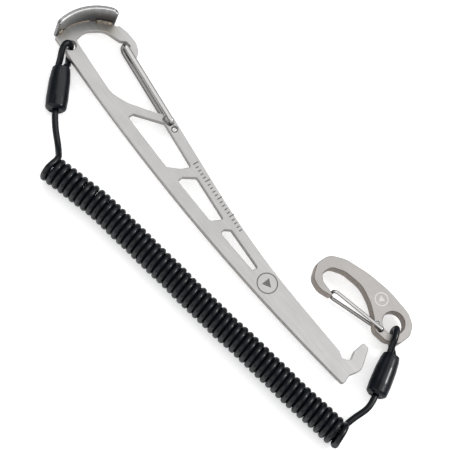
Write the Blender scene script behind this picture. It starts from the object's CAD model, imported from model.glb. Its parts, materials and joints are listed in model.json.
"""Flat steel key with a curved striking pad and a wire gate, tied by a coiled leash to a carabiner.

It lies flat in XY with +Z up. The key's cord eye is near the origin and its blade runs along +X.
The leash leaves the eye towards -Y, coils along +X beside the key and ends at the carabiner.
Sizes and places are in mm unless noted; meshes are scaled to metres when they are built.
"""
import json
from math import sin, cos, pi, radians, atan2

import bpy
import numpy as np
from mathutils import Matrix, Vector

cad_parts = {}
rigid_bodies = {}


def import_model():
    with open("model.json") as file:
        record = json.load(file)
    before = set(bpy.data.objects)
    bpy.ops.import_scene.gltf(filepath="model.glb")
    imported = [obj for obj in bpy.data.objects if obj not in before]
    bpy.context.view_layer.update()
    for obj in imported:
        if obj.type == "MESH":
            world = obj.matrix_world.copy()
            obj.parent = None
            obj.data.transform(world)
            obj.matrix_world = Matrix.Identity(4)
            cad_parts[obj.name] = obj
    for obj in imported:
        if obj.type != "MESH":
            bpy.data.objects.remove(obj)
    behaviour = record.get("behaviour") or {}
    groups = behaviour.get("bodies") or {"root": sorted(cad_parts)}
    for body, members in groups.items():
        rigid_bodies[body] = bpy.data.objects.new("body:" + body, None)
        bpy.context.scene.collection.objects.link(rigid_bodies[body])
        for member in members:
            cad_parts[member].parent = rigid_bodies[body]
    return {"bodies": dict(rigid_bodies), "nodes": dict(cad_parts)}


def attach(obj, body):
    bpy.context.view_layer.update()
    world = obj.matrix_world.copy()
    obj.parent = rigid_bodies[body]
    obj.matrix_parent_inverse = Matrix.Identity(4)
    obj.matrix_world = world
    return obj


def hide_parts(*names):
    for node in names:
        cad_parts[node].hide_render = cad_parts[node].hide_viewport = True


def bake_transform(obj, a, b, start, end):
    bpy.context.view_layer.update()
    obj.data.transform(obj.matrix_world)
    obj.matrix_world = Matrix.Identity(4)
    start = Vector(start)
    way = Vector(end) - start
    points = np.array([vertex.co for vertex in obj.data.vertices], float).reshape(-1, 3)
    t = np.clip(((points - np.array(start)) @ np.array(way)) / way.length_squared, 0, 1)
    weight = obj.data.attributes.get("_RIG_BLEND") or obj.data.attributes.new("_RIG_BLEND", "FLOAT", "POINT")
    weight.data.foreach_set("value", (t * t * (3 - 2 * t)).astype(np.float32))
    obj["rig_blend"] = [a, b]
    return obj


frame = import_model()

MM = 0.001
scene = bpy.context.scene

# ---------------------------------------------------------------------------
# Dimensions shared with the CAD
# ---------------------------------------------------------------------------
CORD_R = 1.5
LEG = 1.56                      # offset of each cord leg from the sleeve axis
# each sleeve axis starts at the end nearest its loop and points towards the coil
KEY_START, KEY_DIR = np.array([5.55, -10.05, 0.3]), np.array([0.6826, -0.7308, 0.0])
CLIP_START, CLIP_DIR = np.array([200.65, 21.85, 1.0]), np.array([0.4260, -0.9047, 0.0])
KEY_SLEEVE_L, CLIP_SLEEVE_L = 21.7, 20.5
SLEEVE_INSET = 0.4              # last axis point inside the sleeve, from its coil end
PLATE_TOP = 1.5                 # top face of the key plate
PAD_CENTRE = (16.0, 2.2)
PAD_R = 24.0                    # radius of the corner between plate and pad wall
PAD_TOP = 14.5
CARABINER_Z = 1.0               # mid-plane of the carabiner
HANG_XY = np.array([192.75, 31.6])   # where the cord passes through the carabiner


def on_axis(start, direction, along, side, rise):
    """Point along an in-plane axis, side mm to its left and rise mm above it."""
    left = np.array([-direction[1], direction[0], 0.0])
    return start + direction * along + left * side + np.array([0, 0, rise])


def key_at(along, side=0.0, rise=0.0):
    return on_axis(KEY_START, KEY_DIR, along, side, rise)


def clip_at(along, side=0.0, rise=0.0):
    return on_axis(CLIP_START, CLIP_DIR, along, side, rise)


# ---------------------------------------------------------------------------
# Mesh helpers
# ---------------------------------------------------------------------------
def mesh_object(name, verts, faces, material, smooth=True):
    mesh = bpy.data.meshes.new(name)
    mesh.from_pydata([tuple(float(c) * MM for c in v) for v in verts], [], faces)
    mesh.validate()
    mesh.update()
    obj = bpy.data.objects.new(name, mesh)
    scene.collection.objects.link(obj)
    if smooth:
        mesh.polygons.foreach_set("use_smooth", [True] * len(mesh.polygons))
    mesh.materials.append(material)
    return obj


def resample(points, step):
    """Spread points evenly along a polyline, about step mm apart."""
    lengths = np.linalg.norm(np.diff(points, axis=0), axis=1)
    travel = np.concatenate([[0], np.cumsum(lengths)])
    count = max(2, int(round(travel[-1] / step)) + 1)
    even = np.linspace(0, travel[-1], count)
    return np.stack([np.interp(even, travel, points[:, k]) for k in range(3)], axis=1)


def cubic(points, step=0.35, start=None, end=None):
    """C2 cubic through the points, sampled every step mm; start and end are end directions."""
    knots = np.array(points, float)
    n = len(knots)
    chords = np.diff(knots, axis=0)
    span = np.linalg.norm(chords, axis=1) ** 0.7
    slope = chords / span[:, None]
    system = np.zeros((n, n))
    target = np.zeros((n, 3))
    for i in range(1, n - 1):
        system[i, i - 1:i + 2] = span[i], 2 * (span[i - 1] + span[i]), span[i - 1]
        target[i] = 3 * (span[i] * slope[i - 1] + span[i - 1] * slope[i])
    for row, inner, first, direction in ((0, 1, slope[0], start), (-1, -2, slope[-1], end)):
        if direction is None:
            system[row, row], system[row, inner] = 2, 1
            target[row] = 3 * first
        else:
            system[row, row] = 1
            unit = np.array(direction, float) / np.linalg.norm(direction)
            target[row] = unit * np.linalg.norm(first)
    tangent = np.linalg.solve(system, target)
    fine = []
    samples = 60
    for i in range(n - 1):
        for k in range(samples):
            u = k / samples
            fine.append((2 * u ** 3 - 3 * u ** 2 + 1) * knots[i]
                        + (u ** 3 - 2 * u ** 2 + u) * span[i] * tangent[i]
                        + (-2 * u ** 3 + 3 * u ** 2) * knots[i + 1]
                        + (u ** 3 - u ** 2) * span[i] * tangent[i + 1])
    fine.append(knots[-1])
    return resample(np.array(fine), step)


def add_domes(path, radii):
    """Extend both ends of a tube path with shrinking rings that close it in a dome."""
    flatness = 0.6
    angles = np.linspace(0, pi / 2, 7)[1:-1]

    def dome(tip, before, radius):
        out = (tip - before) / np.linalg.norm(tip - before)
        return ([tip + out * radius * flatness * sin(a) for a in angles],
                [radius * cos(a) for a in angles])

    head, head_radii = dome(path[0], path[1], radii[0])
    tail, tail_radii = dome(path[-1], path[-2], radii[-1])
    return (np.array(head[::-1] + list(path) + tail),
            np.array(head_radii[::-1] + list(radii) + tail_radii))


def tube(name, path, radius, material, sides=20, domed=True):
    """Round tube along a dense path; radius is a number or one value per point."""
    path = np.array(path, float)
    radii = np.full(len(path), radius, float)
    if domed:
        path, radii = add_domes(path, radii)
    n = len(path)
    tangent = np.gradient(path, axis=0)
    tangent /= np.linalg.norm(tangent, axis=1)[:, None]
    # carry one cross direction along the path so that the rings don't twist
    across = np.zeros((n, 3))
    carried = np.array([0, 0, 1.0]) if abs(tangent[0][2]) < 0.9 else np.array([1.0, 0, 0])
    for i in range(n):
        carried = carried - tangent[i] * carried.dot(tangent[i])
        carried = carried / np.linalg.norm(carried)
        across[i] = carried
    other = np.cross(tangent, across)
    angles = (np.arange(sides) * 2 * pi / sides)[None, :, None]
    ring = np.cos(angles) * across[:, None, :] + np.sin(angles) * other[:, None, :]
    verts = (path[:, None, :] + radii[:, None, None] * ring).reshape(-1, 3)
    faces = []
    for i in range(n - 1):
        a, b = i * sides, (i + 1) * sides
        for k in range(sides):
            k2 = (k + 1) % sides
            faces.append((a + k, a + k2, b + k2, b + k))
    first, last = len(verts), len(verts) + 1
    verts = np.vstack([verts, path[0], path[-1]])
    a = (n - 1) * sides
    for k in range(sides):
        k2 = (k + 1) % sides
        faces.append((first, k2, k))
        faces.append((last, a + k, a + k2))
    return mesh_object(name, verts, faces, material)


# ---------------------------------------------------------------------------
# Material helpers
# ---------------------------------------------------------------------------
def rgb(*channels):
    """sRGB 0-255 to linear."""
    out = []
    for value in channels:
        value = value / 255.0
        out.append(value / 12.92 if value <= 0.04045 else ((value + 0.055) / 1.055) ** 2.4)
    return (*out, 1.0)


def grey(value, warmth=1.0):
    """Grey whose green and blue fall off by the factor warmth."""
    return rgb(value, value * warmth, value * warmth * warmth)


def shade(colour, factor):
    return tuple(v * factor for v in colour[:3]) + (1.0,)


class Material:
    """A Principled material with short helpers that add nodes and return their outputs."""

    def __init__(self, name, base, metallic=0.0, rough=0.5, spec=0.5):
        self.data = bpy.data.materials.new(name)
        self.data.use_nodes = True
        self.tree = self.data.node_tree
        self.inputs = self.tree.nodes["Principled BSDF"].inputs
        self.inputs["Base Color"].default_value = base
        self.inputs["Metallic"].default_value = metallic
        self.inputs["Roughness"].default_value = rough
        self.inputs["Specular IOR Level"].default_value = spec
        self.position = self.node("TexCoord").outputs["Object"]

    def node(self, kind):
        return self.tree.nodes.new("ShaderNode" + kind)

    def feed(self, socket, value):
        """Link an output to the socket, or set a plain value on it."""
        if isinstance(value, bpy.types.NodeSocket):
            self.tree.links.new(value, socket)
        else:
            socket.default_value = value

    def noise(self, scale, detail=4.0):
        """Noise in object space; scale is one number or one per axis, in 1/m."""
        mapping = self.node("Mapping")
        scales = scale if isinstance(scale, tuple) else (scale,) * 3
        mapping.inputs["Scale"].default_value = scales
        self.feed(mapping.inputs["Vector"], self.position)
        texture = self.node("TexNoise")
        texture.inputs["Scale"].default_value = 1.0
        texture.inputs["Detail"].default_value = detail
        texture.inputs["Roughness"].default_value = 0.55
        self.feed(texture.inputs["Vector"], mapping.outputs["Vector"])
        return texture.outputs["Fac"]

    def ramp(self, fac, stops):
        """Colour ramp; stops are (position, linear colour)."""
        node = self.node("ValToRGB")
        elements = node.color_ramp.elements
        while len(elements) > 1:
            elements.remove(elements[-1])
        elements[0].position, elements[0].color = stops[0]
        for position, colour in stops[1:]:
            elements.new(position).color = colour
        self.feed(node.inputs["Fac"], fac)
        return node.outputs["Color"]

    def mottle(self, scale, dark, light, detail=4.0, between=(0.35, 0.65)):
        """Noise that wanders between two colours."""
        return self.ramp(self.noise(scale, detail), [(between[0], dark), (between[1], light)])

    def mix(self, fac, a, b, mode="MIX"):
        node = self.node("Mix")
        node.data_type = "RGBA"
        node.blend_type = mode
        # sockets 6 and 7 are the colour inputs
        for index, value in ((0, fac), (6, a), (7, b)):
            self.feed(node.inputs[index], value)
        return node.outputs[2]

    def remap(self, value, between, to=(0.0, 1.0)):
        node = self.node("MapRange")
        for label, number in zip(("From Min", "From Max", "To Min", "To Max"), (*between, *to)):
            node.inputs[label].default_value = number
        self.feed(node.inputs["Value"], value)
        return node.outputs["Result"]

    def vary(self, noise, low, high):
        """Spread the middle range of a noise over low to high."""
        return self.remap(noise, between=(0.3, 0.7), to=(low, high))

    def math(self, operation, a, b=0.0):
        node = self.node("Math")
        node.operation = operation
        self.feed(node.inputs[0], a)
        self.feed(node.inputs[1], b)
        return node.outputs[0]

    def add(self, a, b):
        return self.math("ADD", a, b)

    def subtract(self, a, b):
        return self.math("SUBTRACT", a, b)

    def times(self, a, b):
        return self.math("MULTIPLY", a, b)

    def jitter(self, scale, detail, size):
        """Noise centred on zero."""
        return self.times(self.subtract(self.noise(scale, detail), 0.5), size)

    def vector_math(self, operation, a, b=None):
        """Returns the outputs: Vector and Value."""
        node = self.node("VectorMath")
        node.operation = operation
        self.feed(node.inputs[0], a)
        if b is not None:
            self.feed(node.inputs[1], b)
        return node.outputs

    def split(self, vector):
        node = self.node("SeparateXYZ")
        self.feed(node.inputs[0], vector)
        return node.outputs

    def combine(self, *values):
        node = self.node("CombineXYZ")
        for socket, value in zip(node.inputs, values):
            self.feed(socket, value)
        return node.outputs[0]

    def object_normal(self):
        geometry = self.node("NewGeometry")
        node = self.node("VectorTransform")
        node.vector_type = "NORMAL"
        node.convert_from, node.convert_to = "WORLD", "OBJECT"
        self.feed(node.inputs[0], geometry.outputs["Normal"])
        return node.outputs[0]

    def near(self, point, inner, outer):
        """1 within inner mm of the point, fading to 0 at outer mm."""
        distance = self.vector_math("DISTANCE", self.position, [c * MM for c in point])["Value"]
        return self.remap(distance, between=(inner * MM, outer * MM), to=(1.0, 0.0))

    def base(self, value):
        self.feed(self.inputs["Base Color"], value)

    def rough(self, value):
        self.feed(self.inputs["Roughness"], value)

    def bump(self, height, strength, distance):
        """Bump; distance is in metres."""
        node = self.node("Bump")
        node.inputs["Strength"].default_value = strength
        node.inputs["Distance"].default_value = distance
        self.feed(node.inputs["Height"], height)
        self.feed(self.inputs["Normal"], node.outputs["Normal"])

    def studio_sheen(self, low, peak, broad):
        """Reflectance that rises where the surface faces one of two soft boxes."""
        normal = self.node("NewGeometry").outputs["Normal"]
        level = low
        # direction of the box, cosines where its sheen starts and is full, strength
        for direction, limits, strength in (((0.13, 0.14, 0.98), (0.90, 0.985), peak),
                                            ((0.10, -0.80, 0.59), (0.74, 0.97), broad)):
            facing = self.vector_math("DOT_PRODUCT", normal, Vector(direction).normalized())
            gain = self.remap(facing["Value"], between=limits, to=(0.0, strength))
            level = self.add(level, gain)
        self.feed(self.inputs["Specular IOR Level"], level)


# ---------------------------------------------------------------------------
# Materials
# ---------------------------------------------------------------------------
def steel(name, base, rough, streak, wall=None, wall_limits=None, tints=()):
    """Brushed metal.

    streak is the noise scale of the brushing. wall colours the cut sides, and wall_limits are
    the |normal Z| values between which side turns to face. tints are stained spots.
    """
    mat = Material(name, base, metallic=1.0, rough=rough)
    fine = mat.noise(scale=2600, detail=5.0)
    streaks = mat.noise(scale=streak, detail=3.0)
    blotches = mat.noise(scale=(90, 140, 120), detail=3.0)
    mixed = mat.add(mat.times(fine, 0.35),
                    mat.add(mat.times(streaks, 0.3), mat.times(blotches, 0.35)))
    colour = mat.ramp(mixed, [(0.35, shade(base, 0.90)), (0.65, shade(base, 1.07))])
    for point, inner, outer, stain, strength in tints:
        patchy = mat.remap(mat.noise(scale=500), between=(0.3, 0.65), to=(0.4, 1.0))
        mask = mat.times(mat.near(point, inner, outer), patchy)
        colour = mat.mix(mat.times(mask, strength), colour, stain)
    roughness = mat.vary(streaks, low=rough * 0.85, high=rough * 1.2)
    if wall:
        # the cut walls of the blank are rougher and darker than its faces
        wall_rough = 0.55
        upright = mat.math("ABSOLUTE", mat.split(mat.object_normal())["Z"])
        face = mat.remap(upright, between=wall_limits)
        wall_colour = mat.mottle(scale=(500, 500, 2500), dark=shade(wall, 0.8),
                                 light=shade(wall, 1.15))
        colour = mat.mix(face, wall_colour, colour)
        roughness = mat.add(mat.times(roughness, face),
                            mat.times(mat.subtract(1.0, face), wall_rough))
    mat.base(colour)
    mat.rough(roughness)
    mat.bump(mat.add(mat.times(streaks, 0.6), mat.times(fine, 0.4)),
             strength=0.12, distance=0.00008)
    return mat.data


def pad_steel():
    """Polished pad: its hollow side mirrors dark surroundings, its rim is bright."""
    mat = Material("pad_steel", rgb(150, 149, 147), metallic=1.0, rough=0.22)
    x, y, z = mat.split(mat.position)
    from_centre = mat.combine(mat.subtract(x, PAD_CENTRE[0] * MM),
                              mat.subtract(y, PAD_CENTRE[1] * MM))
    radial = mat.vector_math("NORMALIZE", from_centre)["Vector"]
    normal = mat.object_normal()
    outward = mat.vector_math("DOT_PRODUCT", radial, normal)["Value"]
    height = mat.add(z, mat.jitter(scale=(120, 120, 260), detail=3.0, size=0.0035))
    # greys from the foot of the wall to its top
    inner = mat.ramp(mat.remap(height, between=(PLATE_TOP * MM, PAD_TOP * MM)),
                     [(0.0, grey(112)), (0.10, grey(92)), (0.20, grey(44, 1.02)),
                      (0.45, grey(80, 1.01)), (0.75, grey(116)), (0.93, grey(134))])
    outer = mat.ramp(mat.remap(height, between=(0.0, PAD_TOP * MM)),
                     [(0.0, grey(110)), (0.6, grey(120)), (0.93, grey(112))])
    side = mat.remap(outward, between=(-0.75, -0.35))
    up = mat.split(normal)["Z"]
    rim = mat.remap(up, between=(0.80, 0.97))
    # highlight on the rounding between the hollow side and the rim
    edge = mat.times(mat.remap(up, between=(0.30, 0.50)),
                     mat.remap(outward, between=(-0.25, -0.45)))
    streak = mat.vary(mat.noise(scale=(900, 900, 60), detail=3.0), low=0.86, high=1.12)
    wall = mat.mix(side, inner, outer)
    colour = mat.mix(edge, mat.mix(rim, wall, grey(158)), grey(250))
    mat.base(mat.mix(1.0, colour, mat.combine(streak, streak, streak), "MULTIPLY"))
    mat.rough(mat.vary(mat.noise(scale=(700, 700, 90), detail=3.0), low=0.16, high=0.30))
    mat.bump(mat.noise(scale=(900, 900, 60), detail=3.0), strength=0.06, distance=0.00008)
    return mat.data


def wire_steel():
    """Drawn wire: bright along the middle, dark towards the edges and underneath."""
    mat = Material("gate_wire_steel", rgb(190, 187, 183), metallic=1.0, rough=0.2)
    weight = mat.node("LayerWeight")
    weight.inputs["Blend"].default_value = 0.5
    z = mat.split(mat.position)["Z"]
    underside = mat.remap(z, between=(-0.0016, 0.0004), to=(0.30, 0.0))
    darkness = mat.add(mat.add(weight.outputs["Facing"], underside),
                       mat.jitter(scale=(60, 300, 300), detail=2.0, size=0.12))
    mat.base(mat.ramp(darkness, [(0.0, grey(226, 0.995)), (0.16, grey(206, 0.99)),
                                 (0.42, grey(140, 0.985)), (0.75, grey(92, 0.98))]))
    mat.rough(mat.vary(mat.noise(scale=(100, 400, 400), detail=2.0), low=0.18, high=0.26))
    return mat.data


def weld_metal():
    mat = Material("weld_bead", rgb(150, 132, 108), metallic=1.0, rough=0.34)
    mat.base(mat.mottle(scale=700, dark=rgb(96, 88, 80), light=rgb(168, 158, 144),
                        between=(0.35, 0.6)))
    mat.bump(mat.noise(scale=1500), strength=0.25, distance=0.00015)
    return mat.data


def leash_cord():
    mat = Material("leash_cord", rgb(12, 15, 19), rough=0.2, spec=0.3)
    mat.base(mat.mottle(scale=420, dark=rgb(9, 12, 16), light=rgb(15, 20, 26)))
    mat.rough(mat.vary(mat.noise(scale=500, detail=3.0), low=0.22, high=0.32))
    mat.bump(mat.noise(scale=500, detail=3.0), strength=0.05, distance=0.0001)
    mat.studio_sheen(low=0.08, peak=0.45, broad=0.34)
    return mat.data


def sleeve_rubber():
    mat = Material("sleeve_rubber", rgb(12, 15, 20), rough=0.18, spec=0.4)
    mat.base(mat.mottle(scale=200, detail=3.0, dark=rgb(8, 12, 17), light=rgb(13, 19, 27)))
    mat.rough(mat.vary(mat.noise(scale=400, detail=3.0), low=0.18, high=0.26))
    mat.bump(mat.noise(scale=700, detail=3.0), strength=0.04, distance=0.0001)
    mat.studio_sheen(low=0.09, peak=0.50, broad=0.30)
    return mat.data


def marking(name, base, metallic, dark, light):
    mat = Material(name, base, metallic=metallic, rough=0.6)
    mat.base(mat.mottle(scale=2600, detail=3.0, dark=dark, light=light))
    return mat.data


plate_mat = steel(
    "plate_steel", rgb(199, 198, 197), rough=0.36, streak=(50, 1500, 1500),
    wall=rgb(152, 149, 146), wall_limits=(0.35, 0.62),
    # centre, full and outer radius, colour, strength
    tints=[((3.0, 19.6, PLATE_TOP), 2.0, 6.5, rgb(182, 170, 150), 0.6),
           ((-6.4, 1.0, PLATE_TOP), 1.0, 4.0, rgb(186, 176, 158), 0.5)])
carabiner_mat = steel("carabiner_satin", rgb(182, 179, 176), rough=0.42, streak=1400,
                      wall=rgb(140, 132, 126), wall_limits=(0.80, 0.95))
ferrule_mat = steel("ferrule_alloy", rgb(200, 200, 200), rough=0.35, streak=(60, 2200, 2200))
pad_mat = pad_steel()
wire_mat = wire_steel()
weld_mat = weld_metal()
cord_mat = leash_cord()
sleeve_mat = sleeve_rubber()
etch_mat = marking("etched_mark", rgb(112, 110, 108), metallic=0.7,
                   dark=rgb(92, 90, 88), light=rgb(134, 132, 130))
laser_mat = marking("laser_mark", rgb(214, 212, 210), metallic=0.3,
                    dark=rgb(200, 198, 196), light=rgb(228, 226, 224))

# ---------------------------------------------------------------------------
# CAD nodes shown as they are
# ---------------------------------------------------------------------------
CAD_LOOK = {
    "key_plate": (plate_mat, "key_steel"),
    "striking_pad": (pad_mat, "pad_steel"),
    "key_gate_wire": (wire_mat, "gate_wire"),
    "key_end_sleeve": (sleeve_mat, "sleeve"),
    "clip_end_sleeve": (sleeve_mat, "sleeve"),
    "key_end_ferrule": (ferrule_mat, "ferrule"),
    "clip_end_ferrule": (ferrule_mat, "ferrule"),
    "carabiner_body": (carabiner_mat, "carabiner_alloy"),
    "carabiner_gate_wire": (wire_mat, "gate_wire"),
}
for name, (material, slot) in CAD_LOOK.items():
    node = frame["nodes"][name]
    node.data.materials.clear()
    node.data.materials.append(material)

# ---------------------------------------------------------------------------
# Eye loop: one cord from the ferrule, through the key's eye and back
# ---------------------------------------------------------------------------
EYE_BLEND = 1.8                 # half length of the bend between key and leash
eye_path = cubic([key_at(9.5, -LEG), key_at(5.6, -LEG), key_at(2.2, -LEG), key_at(0, -1.6),
                  (2.45, -8.65, 1.7), (0.15, -6.0, 3.1), (-1.25, -3.5, 3.85),
                  (-1.35, -1.65, 3.75), (-0.45, -0.45, 2.3), (0.1, -0.1, 0.3),
                  (0.55, -0.45, -1.6), (1.75, -1.7, -3.1), (3.7, -3.75, -3.25),
                  (5.6, -6.1, -2.05), key_at(0, 1.6), key_at(2.2, LEG), key_at(5.6, LEG),
                  key_at(9.5, LEG)], start=-KEY_DIR, end=KEY_DIR)
eye_loop = tube("eye_loop", eye_path, CORD_R, cord_mat)
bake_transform(eye_loop, "key", "leash", (KEY_START - EYE_BLEND * KEY_DIR) * MM,
         (KEY_START + EYE_BLEND * KEY_DIR) * MM)
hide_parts("eye_loop_cord", "key_end_cord_tail")

# ---------------------------------------------------------------------------
# Coiled leash: lead, coil and last turn in one cord
# ---------------------------------------------------------------------------
COIL_R = 5.05                   # axis to cord centre
COIL_Z = 1.65
COIL_X0 = 40.75                 # x of the helix at 180 degrees
COIL_DIR = (0.9923, 0.124)      # mean direction of the axis
TURNS = 55
PITCH = 3.119
LAST_ANGLE = 360.0 * TURNS + 180.0
COIL_CORD_R = 1.58
COIL_SIDES = 14
# x, y of the coil axis
COIL_AXIS = [(30.0, -47.7), (36.5, -46.1), (41.7, -44.85), (47.0, -43.55), (57.4, -41.1),
             (67.8, -39.0), (78.4, -37.6), (89.0, -36.4), (99.5, -35.3), (110.1, -34.2),
             (120.6, -33.15), (131.1, -31.95), (141.6, -30.65), (152.1, -29.35), (162.5, -28.1),
             (173.0, -26.95), (183.4, -25.7), (193.8, -24.35), (208.0, -22.4), (222.0, -20.5)]
axis_curve = cubic([(x, y, 0) for x, y in COIL_AXIS], step=1.0)


def axis_y(x):
    return np.interp(x, axis_curve[:, 0], axis_curve[:, 1])


def helix(angle):
    """Centre of the cord at an angle in degrees, from the +Y side over +Z."""
    turn = (angle - 180.0) / 360.0
    share = turn / TURNS
    x = COIL_X0 + PITCH * (turn + TURNS * 0.02 * (share * share - share))
    # the last 200 degrees draw in and lean along the axis
    splay = max(0.0, (angle - (LAST_ANGLE - 200)) / 200.0)
    radius = (COIL_R + 0.04 * sin(angle * 0.0131 + 1.0)) * (1.0 - 0.11 * splay ** 2)
    side = radius * cos(radians(angle))
    sway = 0.16 * sin(x * 0.21) * sin(x * 0.083 + 2.0)
    along = 1.2 * splay ** 2 + 0.05 * sin(x * 0.9 + 0.6)
    dx, dy = COIL_DIR
    return np.array([x + dx * along - dy * side, axis_y(x) + dy * along + dx * side + sway,
                     COIL_Z + radius * sin(radians(angle))])


turns = np.array([helix(angle) for angle in np.arange(110.0, LAST_ANGLE + 0.1, 12.0)])
lead = [key_at(8.5, -LEG), key_at(13.0, -LEG), key_at(16.3, -0.8), key_at(19.0),
        key_at(KEY_SLEEVE_L - SLEEVE_INSET), (28.2, -32.1, 0.9), (33.3, -35.3, 1.5),
        (37.5, -38.6, 3.6), (39.6, -41.5, 5.8)]
lead_path = cubic(lead + list(turns[:4]), step=0.7, start=KEY_DIR)
# the lead runs on into the helix and is cut where it meets the helix's second point
joint = int(np.argmin(np.linalg.norm(lead_path - turns[1], axis=1)))
coil_path = np.vstack([lead_path[:joint], turns[1:]])
count = len(coil_path)
coil_radii = np.interp(np.arange(count), [0, joint, joint + 40, count - 30, count],
                       [CORD_R, CORD_R, COIL_CORD_R, COIL_CORD_R, CORD_R])
coil = tube("coiled_leash", coil_path, coil_radii, cord_mat, sides=COIL_SIDES, domed=False)
stretch_from = np.array([44.0, axis_y(44.0), COIL_Z])
stretch_to = np.array([207.5, axis_y(207.5), COIL_Z])
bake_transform(coil, "leash", "coil_end", stretch_from * MM, stretch_to * MM)
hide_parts("coil_key_half", "coil_clip_half", "coil_last_turn", "key_end_cord_lead")

# every vertex gets the blend weight of its ring's centre
centres = np.vstack([np.repeat(coil_path, COIL_SIDES, axis=0), coil_path[0], coil_path[-1]])
stretch = stretch_to - stretch_from
part = np.clip(((centres - stretch_from) @ stretch) / stretch.dot(stretch), 0, 1)
ring_weight = coil.data.attributes.new("ring_weight", "FLOAT", "POINT")
ring_weight.data.foreach_set("value", (part * part * (3 - 2 * part)).astype(np.float32))


def keep_rings_round():
    """Node group that moves each ring as one, so the cord stays round as the coil is drawn out."""
    group = bpy.data.node_groups.new("keep_rings_round", "GeometryNodeTree")
    nodes, link = group.nodes, group.links.new
    for direction in ("INPUT", "OUTPUT"):
        group.interface.new_socket("Geometry", in_out=direction, socket_type="NodeSocketGeometry")
    group_in, group_out = nodes.new("NodeGroupInput"), nodes.new("NodeGroupOutput")
    places = []
    for body in ("leash", "coil_end"):
        info = nodes.new("GeometryNodeObjectInfo")
        info.transform_space = "ORIGINAL"
        info.inputs["Object"].default_value = frame["bodies"][body]
        places.append(info.outputs["Location"])
    drawn = nodes.new("ShaderNodeVectorMath")
    drawn.operation = "SUBTRACT"
    link(places[1], drawn.inputs[0])
    link(places[0], drawn.inputs[1])
    weights = []
    for attribute in ("ring_weight", "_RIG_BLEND"):
        named = nodes.new("GeometryNodeInputNamedAttribute")
        named.data_type = "FLOAT"
        named.inputs["Name"].default_value = attribute
        weights.append(named.outputs["Attribute"])
    error = nodes.new("ShaderNodeMath")
    error.operation = "SUBTRACT"
    link(weights[0], error.inputs[0])
    link(weights[1], error.inputs[1])
    offset = nodes.new("ShaderNodeVectorMath")
    offset.operation = "SCALE"
    link(drawn.outputs["Vector"], offset.inputs[0])
    link(error.outputs[0], offset.inputs["Scale"])
    move = nodes.new("GeometryNodeSetPosition")
    link(group_in.outputs[0], move.inputs["Geometry"])
    link(offset.outputs["Vector"], move.inputs["Offset"])
    link(move.outputs["Geometry"], group_out.inputs[0])
    return group


coil.modifiers.new("keep_rings_round", "NODES").node_group = keep_rings_round()

# ---------------------------------------------------------------------------
# Clip end lead: from the last turn, dipping low, on to the carabiner's sleeve
# ---------------------------------------------------------------------------
TAIL_JOINT = np.array([210.6, -16.9, -0.9])
TAIL_BLEND = np.array([0, 2.3, 0])    # half length of the bend at the joint
tail_path = cubic([turns[-1], (213.2, -25.1, -1.55), (212.6, -22.2, -2.9), (211.2, -19.2, -2.25),
                   TAIL_JOINT, (210.75, -9.5, 0.3), (211.15, -2.5, 0.9),
                   clip_at(CLIP_SLEEVE_L - SLEEVE_INSET), clip_at(18.0), clip_at(15.0, -0.8),
                   clip_at(12.0, -LEG), clip_at(9.0, -LEG)],
                  step=0.5, start=turns[-1] - turns[-2], end=-CLIP_DIR)
clip_lead = tube("clip_end_lead_cord", tail_path, CORD_R, cord_mat, domed=False)
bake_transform(clip_lead, "coil_end", "tail", (TAIL_JOINT - TAIL_BLEND) * MM,
         (TAIL_JOINT + TAIL_BLEND) * MM)
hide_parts("clip_end_lead")

# ---------------------------------------------------------------------------
# Carabiner loop: over the carabiner's bar and back under it
# ---------------------------------------------------------------------------
over_xy = clip_at(0.4, -LEG)[:2]
under_xy = clip_at(0.4, LEG)[:2]


def from_hang(towards, distance, z):
    """Point at height z, at a distance from HANG_XY towards a leg."""
    direction = (towards - HANG_XY) / np.linalg.norm(towards - HANG_XY)
    return np.array([*(HANG_XY + direction * distance), z])


# distance from HANG_XY, z
OVER = [(9.0, 4.1), (7.1, 5.2), (4.6, 5.55), (2.2, 5.15), (0.5, 3.6)]
UNDER = [(0.5, -1.6), (2.2, -3.15), (4.6, -3.5), (7.4, -3.25), (9.4, -2.1)]
loop_path = cubic([clip_at(10.5, -LEG), clip_at(6.0, -LEG), clip_at(2.6, -LEG, 0.15),
                   clip_at(0.2, -1.5, 1.3), *(from_hang(over_xy, *row) for row in OVER),
                   (*HANG_XY, CARABINER_Z), *(from_hang(under_xy, *row) for row in UNDER),
                   clip_at(0.2, 1.45, -1.1), clip_at(2.6, LEG, -0.1), clip_at(6.0, LEG),
                   clip_at(12.4, LEG)], start=-CLIP_DIR, end=CLIP_DIR)
clip_loop = tube("carabiner_loop", loop_path, CORD_R, cord_mat)
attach(clip_loop, "tail")
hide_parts("clip_eye_loop")

# ---------------------------------------------------------------------------
# Weld beads: rippled fillets in the corner between plate and pad
# ---------------------------------------------------------------------------
WELD_ROOT = 0.12                # how far the hidden root sinks into plate and pad
WELD_SINK = 0.02                # how far the bead's edges sink in
RIPPLE_PITCH = 0.95
# start and end angle about the pad's centre in degrees, fillet size
WELDS = [(122.0, 143.0, 1.25), (145.5, 178.5, 0.55), (181.5, 188.0, 1.1)]


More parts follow.
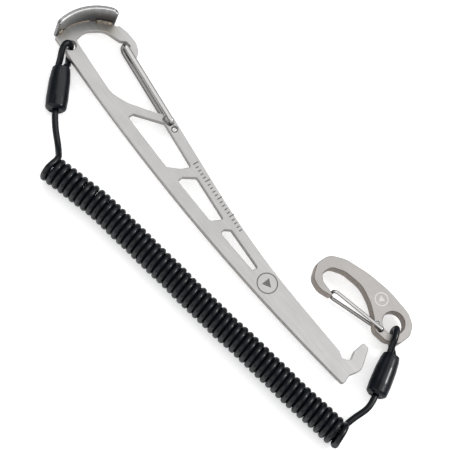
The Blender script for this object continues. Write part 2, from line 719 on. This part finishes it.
def weld_bead(name, start, end, size, seed):
    n = int((end - start) * 4)
    steps = 8
    noise = np.random.RandomState(seed).uniform(-1, 1, n + 8)
    jitter = np.convolve(noise, np.ones(5) / 5, "same")[4:]
    verts, faces = [], []

    def add_vert(angle, r, z):
        verts.append((PAD_CENTRE[0] + r * cos(angle), PAD_CENTRE[1] + r * sin(angle), z))

    for i in range(n + 1):
        f = i / n
        angle = radians(start + (end - start) * f)
        arc = radians(end - start) * PAD_R * f
        taper = min(1.0, sin(pi * f) * 3.0 + 0.12)
        ripple = 1.0 + 0.06 * sin(arc * 2 * pi / RIPPLE_PITCH) + 0.06 * jitter[i]
        add_vert(angle, PAD_R + WELD_ROOT, PLATE_TOP - WELD_ROOT)
        for j in range(steps + 1):
            t = pi / 2 * j / steps
            swell = 0.2475 * size * sin(pi * j / steps) * ripple
            add_vert(angle, PAD_R - (size * (1 - sin(t)) + swell) * taper + WELD_SINK,
                     PLATE_TOP + (size * (1 - cos(t)) + swell) * taper - WELD_SINK)
    m = steps + 2
    for i in range(n):
        for j in range(m):
            j2 = (j + 1) % m
            faces.append((i * m + j, (i + 1) * m + j, (i + 1) * m + j2, i * m + j2))
    faces.append(tuple(range(m)))
    faces.append(tuple(n * m + j for j in reversed(range(m))))
    return mesh_object(name, verts, faces, weld_mat)


for i, (start, end, size) in enumerate(WELDS):
    bead = weld_bead("weld_bead_%d" % (i + 1), start, end, size, seed=11 + i)
    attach(bead, "key")
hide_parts("pad_welds")


# ---------------------------------------------------------------------------
# Marks: a row of graduations and two rings with a solid triangle
# ---------------------------------------------------------------------------
def raised_marks(name, outlines, z, body, material):
    """Very thin prisms on the outlines, standing on height z."""
    thickness = 0.015
    verts, faces = [], []
    for outline in outlines:
        b = len(verts)
        m = len(outline)
        for level in (z, z + thickness):
            verts += [(x, y, level) for x, y in outline]
        faces.append(tuple(b + m + i for i in range(m)))
        faces.append(tuple(b + i for i in reversed(range(m))))
        for i in range(m):
            j = (i + 1) % m
            faces.append((b + i, b + j, b + m + j, b + m + i))
    obj = mesh_object(name, verts, faces, material, smooth=False)
    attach(obj, body)
    return obj


def bar(x, y, width, height, turn):
    c, s = cos(turn), sin(turn)
    w, h = width / 2, height / 2
    return [(x + c * a - s * b, y + s * a + c * b) for a, b in
            ((-w, -h), (w, -h), (w, h), (-w, h))]


def polar(x, y, radius, angle):
    return (x + radius * cos(angle), y + radius * sin(angle))


def ringed_triangle(x, y, radius, width, triangle_r, turn):
    """A ring of 40 quads around a solid triangle."""
    n = 40
    inner = radius - width
    outlines = []
    for i in range(n):
        a, b = 2 * pi * i / n, 2 * pi * (i + 1) / n
        outlines.append([polar(x, y, radius, a), polar(x, y, radius, b),
                         polar(x, y, inner, b), polar(x, y, inner, a)])
    outlines.append([polar(x, y, triangle_r, turn + k * 2 * pi / 3) for k in range(3)])
    return outlines


# graduation scale along the +Y edge of the blade, with every fifth bar long
GRAD_COUNT = 20
GRAD_START, GRAD_RUN = (77.6, 9.4), (36.6, -3.9)
GRAD_WIDTH, GRAD_LONG, GRAD_SHORT = 0.55, 2.7, 1.6
blade_outlines = []
for i in range(GRAD_COUNT):
    f = i / (GRAD_COUNT - 1)
    length = GRAD_LONG if i % 5 == 0 else GRAD_SHORT
    blade_outlines.append(bar(GRAD_START[0] + GRAD_RUN[0] * f,
                              GRAD_START[1] + GRAD_RUN[1] * f + (length - GRAD_LONG) / 2,
                              GRAD_WIDTH, length, atan2(GRAD_RUN[1], GRAD_RUN[0])))
blade_outlines += ringed_triangle(140.3, -1.6, radius=5.0, width=0.55, triangle_r=2.6, turn=0.0)
blade_marks = raised_marks("blade_marks", blade_outlines, PLATE_TOP, "key", etch_mat)

MARK_RISE = 2.7                 # above the carabiner's mid-plane
carabiner_mark = raised_marks(
    "carabiner_mark",
    ringed_triangle(178.5, 35.0, radius=3.3, width=0.5, triangle_r=1.8, turn=0.5),
    CARABINER_Z + MARK_RISE, "carabiner", laser_mat)

# ---------------------------------------------------------------------------
# Floor
# ---------------------------------------------------------------------------
FLOOR_HALF, FLOOR_Z = 3000.0, -4.95
floor_mat = Material("floor", (0.93, 0.93, 0.93, 1.0), rough=0.9, spec=0.1)
floor_mat.inputs["Emission Color"].default_value = (1, 1, 1, 1)
floor_mat.inputs["Emission Strength"].default_value = 0.42
floor_mat.base(floor_mat.mottle(scale=3, detail=2.0, dark=(0.92, 0.92, 0.92, 1),
                                light=(0.94, 0.94, 0.94, 1), between=(0.3, 0.7)))
corners = [(x * FLOOR_HALF, y * FLOOR_HALF, FLOOR_Z)
           for x, y in ((-1, -1), (1, -1), (1, 1), (-1, 1))]
mesh_object("floor", corners, [(0, 1, 2, 3)], floor_mat.data, smooth=False)


# ---------------------------------------------------------------------------
# World: grey at the horizon, white above; the lens sees an even pale backdrop
# ---------------------------------------------------------------------------
def build_world():
    world = bpy.data.worlds.new("studio")
    scene.world = world
    world.use_nodes = True
    nodes, link = world.node_tree.nodes, world.node_tree.links.new
    background = nodes["Background"]
    coords = nodes.new("ShaderNodeTexCoord")
    axes = nodes.new("ShaderNodeSeparateXYZ")
    ramp = nodes.new("ShaderNodeValToRGB")
    link(coords.outputs["Generated"], axes.inputs[0])
    height = nodes.new("ShaderNodeMapRange")
    height.inputs["From Min"].default_value = -1.0
    link(axes.outputs["Z"], height.inputs["Value"])
    link(height.outputs["Result"], ramp.inputs["Fac"])
    low, high = ramp.color_ramp.elements
    low.position, low.color = 0.50, (0.30, 0.30, 0.31, 1)
    high.position, high.color = 0.80, (1.0, 1.0, 1.0, 1)
    rays = nodes.new("ShaderNodeLightPath")
    mix = nodes.new("ShaderNodeMix")
    mix.data_type = "RGBA"
    link(rays.outputs["Is Camera Ray"], mix.inputs[0])
    link(ramp.outputs["Color"], mix.inputs[6])
    mix.inputs[7].default_value = (0.93, 0.93, 0.93, 1)
    link(mix.outputs[2], background.inputs["Color"])
    background.inputs["Strength"].default_value = 0.95


build_world()

# ---------------------------------------------------------------------------
# Lights and camera, in metres; the lights are placed along the camera's axes
# ---------------------------------------------------------------------------
centre = Vector((0.105, -0.005, 0.0))
right = Vector((0.64173, 0.73184, 0.22933))
up = Vector((-0.76148, 0.57243, 0.30409))
back = Vector((0.09127, -0.36977, 0.92463))


def area_light(name, location, size, energy):
    """Disk light aimed at the centre."""
    data = bpy.data.lights.new(name, "AREA")
    data.shape = "DISK"
    data.size = size
    data.energy = energy
    light = bpy.data.objects.new(name, data)
    scene.collection.objects.link(light)
    light.location = location
    light.rotation_euler = (centre - location).to_track_quat("-Z", "Y").to_euler()


area_light("key_light", centre + right * 1.05 + up * 0.25 + back * 0.55, size=0.22, energy=3.2)
area_light("top_soft", centre + up * 0.9 + back * 0.55 - right * 0.2, size=0.5, energy=1.0)
area_light("fill_left", centre - right * 0.9 + up * 0.1 + back * 0.5, size=0.5, energy=0.4)

camera_data = bpy.data.cameras.new("main_camera")
camera_data.sensor_width = 36.0
camera_data.lens = 131.6
camera_data.clip_start = 0.01
camera_data.clip_end = 20.0
camera = bpy.data.objects.new("main_camera", camera_data)
scene.collection.objects.link(camera)
eye = Vector((175.406, -272.241, 684.456)) * MM
camera.matrix_world = Matrix((*zip(right, up, back, eye), (0, 0, 0, 1)))
scene.camera = camera
scene.view_settings.view_transform = "Standard"
scene.view_settings.look = "None"
